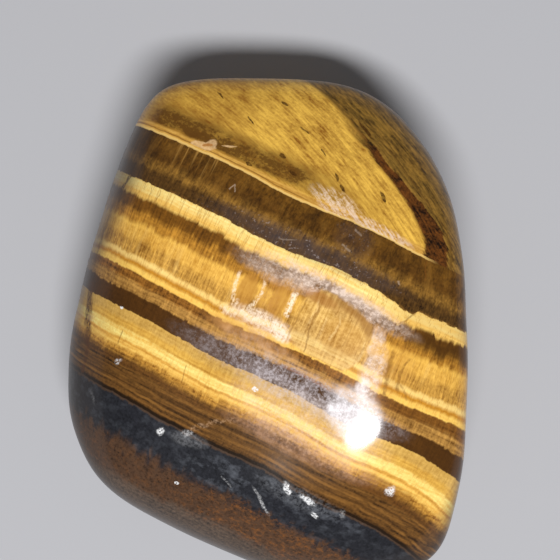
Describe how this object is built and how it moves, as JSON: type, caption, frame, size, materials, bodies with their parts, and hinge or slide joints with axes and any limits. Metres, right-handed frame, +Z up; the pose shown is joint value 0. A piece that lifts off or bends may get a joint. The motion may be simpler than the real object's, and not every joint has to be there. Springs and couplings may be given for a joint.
{
  "type": "polished tiger's eye tumbled stone",
  "caption": "Tumbled pebble of banded golden-brown tiger's eye with a glassy polish, lying on its flattest side.",
  "frame": {"origin": "on the resting surface, under the middle of the stone's box", "axes": "+Y along the stone towards its narrower head, +X to the straight flank, +Z up from the flat base"},
  "size_m": [0.0252, 0.032, 0.016],
  "materials": {
    "polished_tigers_eye": "high polish"
  },
  "bodies": {
    "root": {"tigers_eye_stone": "polished_tigers_eye"}
  },
  "joints": []
}
